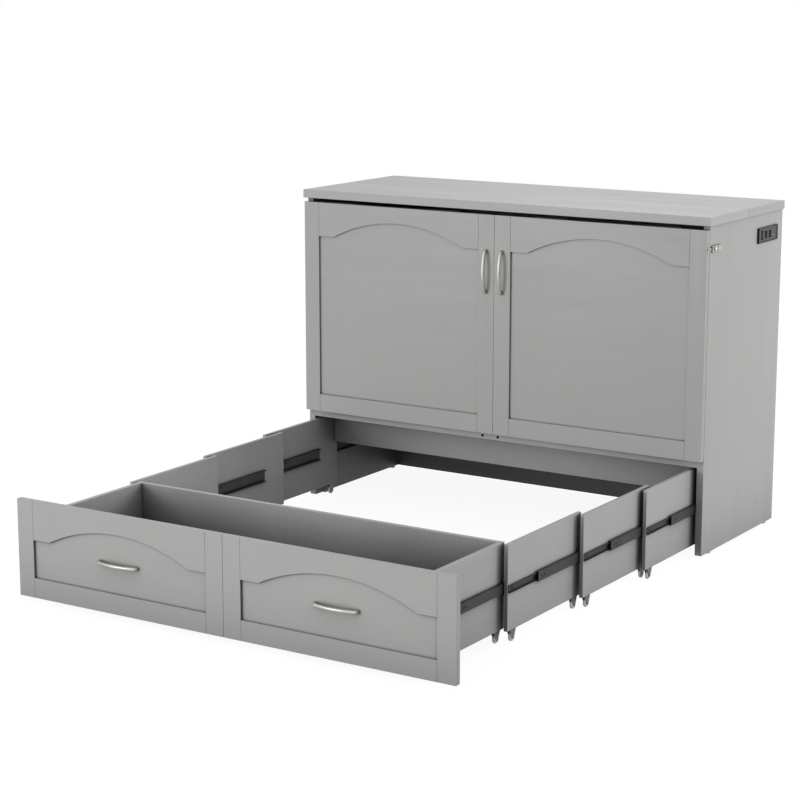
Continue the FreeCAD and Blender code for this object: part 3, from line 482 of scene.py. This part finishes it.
def slide_heads(body, board, screw_insets):
    """The screws on the inner members that lie on the board and on its twin at the left, and the rivets on
    the middle members round them."""
    member_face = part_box(board)[1].x + SLIDE_STEEL
    member_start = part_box(f"{body}_slide_members")[0].y
    middle_low, middle_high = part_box(f"{body}_middle_slides")
    for side, sign, heading in SIDES:
        for number, inset in enumerate(screw_insets):
            placed_head(f"{body}_slide_screw_{side}_{number}", SCREW, body,
                        (sign * member_face, member_start + inset, SLIDE_MIDDLE), heading)
        for number, inset in enumerate(RIVET_INSETS):
            placed_head(f"{body}_middle_rivet_{side}_{number}", RIVET, f"{body}_middle",
                        (sign * middle_high.x, middle_low.y + inset, SLIDE_MIDDLE), heading)


def back_screws(row, height):
    """A row of screws across the back panel."""
    low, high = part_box("back_panel")
    spacing = (high.x - low.x - 2 * BACK_SCREW_INSET) / (BACK_SCREW_COUNT - 1)
    for number in range(BACK_SCREW_COUNT):
        across = low.x + BACK_SCREW_INSET + number * spacing
        placed_head(f"back_panel_screw_{row}_{number}", BACK_SCREW, "cabinet",
                    (across, high.y, height), BACK_HEADING)


for stage in STAGES:
    slide_heads(stage, f"{stage}_rail_right", STAGE_SCREW_INSETS)
slide_heads("drawer", "drawer_side_right", DRAWER_SCREW_INSETS)
# The back panel is screwed to the shelf's back edge and to the top rail.
back_screws("shelf", middle_of("platform_shelf"))
back_screws("rail", middle_of("top_rails"))

# --- catch fittings ---------------------------------------------------------------

# Places along Y are counted from the front end of the housing, and heights from its middle.
catch_low, catch_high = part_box("catch_housings")
tongue_low, tongue_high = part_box("catch_tongues")
BUTTON_RISE = 0.0015
CATCH_FACE = catch_high.x - BUTTON_RISE
CATCH_MIDDLE = middle_of("catch_housings")
# How deep the slot and the cover are sunk into the housing's face.
SEAT_DEPTH = 0.0004
SLOT_PLACE = (0.0090, 0.0135)
SLOT_HALF = 0.0078
SLOT_RISE = 0.0005
SLOT_CORNER = 0.0015
SLOT_EASE = 0.0002
COVER_PLACE = (0.0400, 0.0605)
COVER_HALF = 0.0070
COVER_RISE = 0.0020
COVER_CORNER = 0.0020
COVER_EASE = 0.0006
BALL = head("catch_ball", radius=0.0040, rise=0.0022, material=ball_steel, crossed=False)
BALL_PLACE = 0.0250
TONGUE_SCREW = head("tongue_screw", radius=0.0030, rise=0.0009, material=dark_zinc, crossed=True)
# Counted from the tongue's front end.
TONGUE_SCREW_PLACE = 0.008


def catch_fittings(side, sign, heading):
    """The slot, the cover and the ball on a catch's housing, and the screw on its tongue."""
    face = sign * CATCH_FACE
    solid(f"catch_slot_{side}", [
        block(face - sign * SEAT_DEPTH, face + sign * SLOT_RISE,
              catch_low.y + SLOT_PLACE[0], catch_low.y + SLOT_PLACE[1],
              CATCH_MIDDLE - SLOT_HALF, CATCH_MIDDLE + SLOT_HALF, SLOT_CORNER, SLOT_EASE),
    ], black_plastic, "cabinet")
    solid(f"catch_cover_{side}", [
        block(face - sign * SEAT_DEPTH, face + sign * COVER_RISE,
              catch_low.y + COVER_PLACE[0], catch_low.y + COVER_PLACE[1],
              CATCH_MIDDLE - COVER_HALF, CATCH_MIDDLE + COVER_HALF, COVER_CORNER, COVER_EASE),
    ], pale_plastic, "cabinet")
    placed_head(f"catch_ball_{side}", BALL, "cabinet",
                (face, catch_low.y + BALL_PLACE, CATCH_MIDDLE), heading)
    placed_head(f"catch_tongue_screw_{side}", TONGUE_SCREW, "front_panel",
                (sign * tongue_high.x, tongue_low.y + TONGUE_SCREW_PLACE, CATCH_MIDDLE), heading)


for side in SIDES:
    catch_fittings(*side)

# --- outlet fittings ---------------------------------------------------------------

# Places along Y are counted from the plate's front end, and heights from its middle.
outlet_low, outlet_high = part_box("outlet_unit")
PLATE_FACE = outlet_high.x
PLATE_THICKNESS = 0.003
PLATE_BACK = PLATE_FACE - PLATE_THICKNESS
PLATE_MIDDLE = middle_of("outlet_unit")
BEZEL_RISE = 0.0025
BEZEL_TOP = PLATE_FACE + BEZEL_RISE
BEZEL_DEPTH = 0.0005
BEZEL_WIDTH = 0.003
BEZEL_EASE = 0.0006
BEZEL_CORNER = 0.002
BEZEL_INNER_CORNER = 0.0016
STRIP_WIDTH = 0.0035
STRIP_RISE = 0.0003
STRIP_OVERHANG = 0.0004
STRIP_CORNER = 0.001
STRIP_EASE = 0.0004
ROCKER_PLACE = (0.0253, 0.0387)
ROCKER_HALF = 0.0157
ROCKER_RISE = 0.0012
ROCKER_DIP = 0.0010
ROCKER_CLEARANCE = 0.0002
ROCKER_CORNER = 0.0012
ROCKER_EASE = 0.0004
SOCKET_PLACES = (0.063, 0.095)
SOCKET_HALF = 0.0088
SOCKET_LOW = 0.0130
SOCKET_HIGH = 0.0115
SOCKET_CORNER = 0.004
SOCKET_RISE = 0.0005
SOCKET_DEPTH = 0.0003
BLADE_OFFSET = 0.006
BLADE_HALF = 0.00115
BLADE_TALL = 0.009
GROUND_DROP = 0.008
GROUND_RADIUS = 0.0025
GROUND_STEPS = 20
OPENING_FLOOR_RISE = 0.0006
OPENING_FLOOR_CORNER = 0.0004
OPENING_FLOOR_EASE = 0.0001
PORT_PLACE = (0.119, 0.134)
PORT_MIDDLES = (-0.00675, 0.00925)
PORT_TONGUE_INSET = 0.0012
PORT_TONGUE_HALF = 0.0009
PORT_TONGUE_SINK = 0.0003
PORT_TONGUE_CORNER = 0.0004
PORT_TONGUE_EASE = 0.0002


def bezel():
    """The raised rim of the plate, and the strip over its front end."""
    inner_low_y = outlet_low.y + BEZEL_WIDTH
    inner_high_y = outlet_high.y - BEZEL_WIDTH
    inner_low_z = outlet_low.z + BEZEL_WIDTH
    inner_high_z = outlet_high.z - BEZEL_WIDTH
    work = bmesh.new()
    loft(work, [
        (PLATE_FACE - BEZEL_DEPTH, outlet_low.y, outlet_high.y, outlet_low.z, outlet_high.z, BEZEL_CORNER),
        (BEZEL_TOP - BEZEL_EASE, outlet_low.y, outlet_high.y, outlet_low.z, outlet_high.z, BEZEL_CORNER),
        (BEZEL_TOP, outlet_low.y + BEZEL_EASE, outlet_high.y - BEZEL_EASE, outlet_low.z + BEZEL_EASE,
         outlet_high.z - BEZEL_EASE, BEZEL_INNER_CORNER),
        (BEZEL_TOP, inner_low_y - BEZEL_EASE, inner_high_y + BEZEL_EASE, inner_low_z - BEZEL_EASE,
         inner_high_z + BEZEL_EASE, BEZEL_INNER_CORNER),
        (PLATE_FACE - BEZEL_DEPTH, inner_low_y, inner_high_y, inner_low_z, inner_high_z, BEZEL_INNER_CORNER),
    ], ring=True)
    fitting("outlet_bezel", finished("outlet_bezel", work, bezel_plastic), "cabinet")
    solid("outlet_end_strip", [
        block(PLATE_BACK, BEZEL_TOP + STRIP_RISE, outlet_low.y - STRIP_OVERHANG, outlet_low.y + STRIP_WIDTH,
              outlet_low.z, outlet_high.z, STRIP_CORNER, STRIP_EASE),
    ], black_plastic, "cabinet")


def rocker():
    """The switch, whose face dips along its middle."""
    work = bmesh.new()
    loft(work, block(PLATE_BACK + ROCKER_CLEARANCE, PLATE_FACE + ROCKER_RISE,
                     outlet_low.y + ROCKER_PLACE[0], outlet_low.y + ROCKER_PLACE[1],
                     PLATE_MIDDLE - ROCKER_HALF, PLATE_MIDDLE + ROCKER_HALF, ROCKER_CORNER, ROCKER_EASE))
    bmesh.ops.bisect_plane(work, geom=work.verts[:] + work.edges[:] + work.faces[:],
                           plane_co=(0, 0, PLATE_MIDDLE), plane_no=(0, 0, 1))
    for vertex in work.verts:
        if vertex.co.x > PLATE_FACE:
            vertex.co.x -= ROCKER_DIP * (1 - abs(vertex.co.z - PLATE_MIDDLE) / ROCKER_HALF)
    fitting("outlet_rocker", finished("outlet_rocker", work, black_plastic), "cabinet")


def socket(number, middle):
    """The face round a socket's two upright openings and the round one under them, and their black floors,
    which are painted shade for the openings' dark depth.
    """
    blades = [
        (blade - BLADE_HALF, blade + BLADE_HALF, PLATE_MIDDLE, PLATE_MIDDLE + BLADE_TALL)
        for blade in (middle - BLADE_OFFSET, middle + BLADE_OFFSET)
    ]
    ground = PLATE_MIDDLE - GROUND_DROP
    holes = [[(low_y, low_z), (high_y, low_z), (high_y, high_z), (low_y, high_z)]
             for low_y, high_y, low_z, high_z in blades]
    holes.append([
        (middle + GROUND_RADIUS * math.cos(turn), ground + GROUND_RADIUS * math.sin(turn))
        for turn in (2 * math.pi * step / GROUND_STEPS for step in range(GROUND_STEPS))
    ])
    edge = rounded_rectangle(middle - SOCKET_HALF, middle + SOCKET_HALF, PLATE_MIDDLE - SOCKET_LOW,
                             PLATE_MIDDLE + SOCKET_HIGH, SOCKET_CORNER)
    work = bmesh.new()
    pierced(work, edge, holes, PLATE_FACE - SOCKET_DEPTH, PLATE_FACE + SOCKET_RISE)
    name = f"outlet_socket_face_{number}"
    fitting(name, finished(name, work, black_plastic), "cabinet")
    # Black floors in the openings: painted shade for their dark depth.
    floor_top = PLATE_BACK + OPENING_FLOOR_RISE
    floors = [
        block(PLATE_BACK, floor_top, *extents, OPENING_FLOOR_CORNER, OPENING_FLOOR_EASE) for extents in blades
    ]
    floors.append(block(PLATE_BACK, floor_top, middle - GROUND_RADIUS, middle + GROUND_RADIUS,
                        ground - GROUND_RADIUS, ground + GROUND_RADIUS,
                        GROUND_RADIUS - OPENING_FLOOR_EASE, OPENING_FLOOR_EASE))
    solid(f"outlet_socket_shade_floor_{number}", floors, black_plastic, "cabinet")


def port_tongues():
    """A pale tongue in each charging port."""
    solid("outlet_port_tongues", [
        block(PLATE_BACK, PLATE_FACE - PORT_TONGUE_SINK,
              outlet_low.y + PORT_PLACE[0] + PORT_TONGUE_INSET,
              outlet_low.y + PORT_PLACE[1] - PORT_TONGUE_INSET,
              PLATE_MIDDLE + middle - PORT_TONGUE_HALF, PLATE_MIDDLE + middle + PORT_TONGUE_HALF,
              PORT_TONGUE_CORNER, PORT_TONGUE_EASE)
        for middle in PORT_MIDDLES
    ], pale_plastic, "cabinet")


bezel()
rocker()
for number, across in enumerate(SOCKET_PLACES):
    socket(number, outlet_low.y + across)
port_tongues()

# --- floor, backdrop and light ---------------------------------------------------------------


def seen_directly(tree):
    """1 for rays from the camera and for those that a mirror or a clear piece sends on."""
    path = tree.nodes.new("ShaderNodeLightPath")
    seen = path.outputs["Is Camera Ray"]
    for ray in ("Is Glossy Ray", "Is Transmission Ray"):
        either = tree.nodes.new("ShaderNodeMath")
        either.operation = "MAXIMUM"
        tree.links.new(seen, either.inputs[0])
        tree.links.new(path.outputs[ray], either.inputs[1])
        seen = either.outputs["Value"]
    return seen


# The floor lies just under the wheels and the glides, so that they share no plane with it.
FLOOR_HALF = 60.0
FLOOR_DROP = 0.0005
FLOOR_BOUNCE = 0.3
FLOOR_SHADE = 0.15
FLOOR_LIFT = 0.92


def floor_material():
    """A floor that a camera sees as white with the object's shadow, and that gives back little light."""
    material = bpy.data.materials.new("studio_floor")
    material.use_nodes = True
    tree = material.node_tree
    tree.nodes.clear()
    output = tree.nodes.new("ShaderNodeOutputMaterial")
    dull = tree.nodes.new("ShaderNodeBsdfDiffuse")
    dull.inputs["Color"].default_value = (FLOOR_BOUNCE, FLOOR_BOUNCE, FLOOR_BOUNCE, 1.0)
    pale = tree.nodes.new("ShaderNodeBsdfDiffuse")
    pale.inputs["Color"].default_value = (FLOOR_SHADE, FLOOR_SHADE, FLOOR_SHADE, 1.0)
    lift = tree.nodes.new("ShaderNodeEmission")
    lift.inputs["Color"].default_value = (1.0, 1.0, 1.0, 1.0)
    lift.inputs["Strength"].default_value = FLOOR_LIFT
    lifted = tree.nodes.new("ShaderNodeAddShader")
    tree.links.new(pale.outputs["BSDF"], lifted.inputs[0])
    tree.links.new(lift.outputs["Emission"], lifted.inputs[1])
    chosen = tree.nodes.new("ShaderNodeMixShader")
    tree.links.new(seen_directly(tree), chosen.inputs[0])
    tree.links.new(dull.outputs["BSDF"], chosen.inputs[1])
    tree.links.new(lifted.outputs["Shader"], chosen.inputs[2])
    tree.links.new(chosen.outputs["Shader"], output.inputs["Surface"])
    return material


floor_mesh = bpy.data.meshes.new("studio_floor")
floor_mesh.from_pydata(
    [(-FLOOR_HALF, -FLOOR_HALF, 0), (FLOOR_HALF, -FLOOR_HALF, 0), (FLOOR_HALF, FLOOR_HALF, 0),
     (-FLOOR_HALF, FLOOR_HALF, 0)],
    [], [(0, 1, 2, 3)],
)
floor_mesh.materials.append(floor_material())
floor = bpy.data.objects.new("studio_floor", floor_mesh)
bpy.context.scene.collection.objects.link(floor)
floor.location.z = -FLOOR_DROP


def world_light(strength):
    """A soft grey surround that lights the object, and white where a camera or a mirror sees it."""
    world = bpy.data.worlds.new("studio_world")
    bpy.context.scene.world = world
    world.use_nodes = True
    tree = world.node_tree
    background = tree.nodes["Background"]
    background.inputs["Color"].default_value = (1.0, 1.0, 1.0, 1.0)
    level = tree.nodes.new("ShaderNodeMapRange")
    level.inputs["To Min"].default_value = strength
    level.inputs["To Max"].default_value = 1.0
    tree.links.new(seen_directly(tree), level.inputs["Value"])
    tree.links.new(level.outputs["Result"], background.inputs["Strength"])


def area_light(name, place, aim, size, power):
    """A soft square lamp at place that shines towards aim."""
    light = bpy.data.lights.new(name, "AREA")
    light.shape = "SQUARE"
    light.size = size
    light.energy = power
    lamp = bpy.data.objects.new(name, light)
    bpy.context.scene.collection.objects.link(lamp)
    lamp.location = place
    lamp.rotation_euler = (Vector(aim) - Vector(place)).to_track_quat("-Z", "Y").to_euler()


WORLD_LEVEL = 0.53
# Each lamp as (name, place, what it aims at, size, power).
LAMPS = (
    ("right_rear_light", (5.0, 2.7, 2.0), (0.75, 0.4, 0.6), 2.0, 111.0),
    ("front_left_light", (-3.5, -7.0, 1.35), (0.0, 0.0, 0.6), 2.5, 177.0),
    ("front_right_light", (2.5, -8.0, 1.5), (0.0, 0.0, 0.6), 2.5, 60.0),
    ("back_light", (-1.5, 5.0, 4.0), (0.0, 0.6, 1.0), 2.5, 24.0),
)
world_light(WORLD_LEVEL)
for lamp in LAMPS:
    area_light(*lamp)

# --- camera ---------------------------------------------------------------

# The place and the angles come from a camera fitted to the photograph's straight edges.
CAMERA_PLACE = (3.46663, -5.51120, 1.85194)
CAMERA_YAW = math.radians(32.7063)
CAMERA_DOWN = math.radians(11.6429)
SENSOR_WIDTH = 36.0
FOCAL_PIXELS = 2131.83
PHOTO_PIXELS = 800
CLIP_END = 300.0

camera = bpy.data.cameras.new("photo_camera")
camera.sensor_width = SENSOR_WIDTH
camera.lens = SENSOR_WIDTH * (FOCAL_PIXELS / PHOTO_PIXELS)
camera.clip_end = CLIP_END
viewer = bpy.data.objects.new("photo_camera", camera)
bpy.context.scene.collection.objects.link(viewer)
viewer.location = CAMERA_PLACE
viewer.rotation_euler = (math.pi / 2 - CAMERA_DOWN, 0, CAMERA_YAW)
bpy.context.scene.camera = viewer

bpy.context.scene.view_settings.view_transform = "Standard"
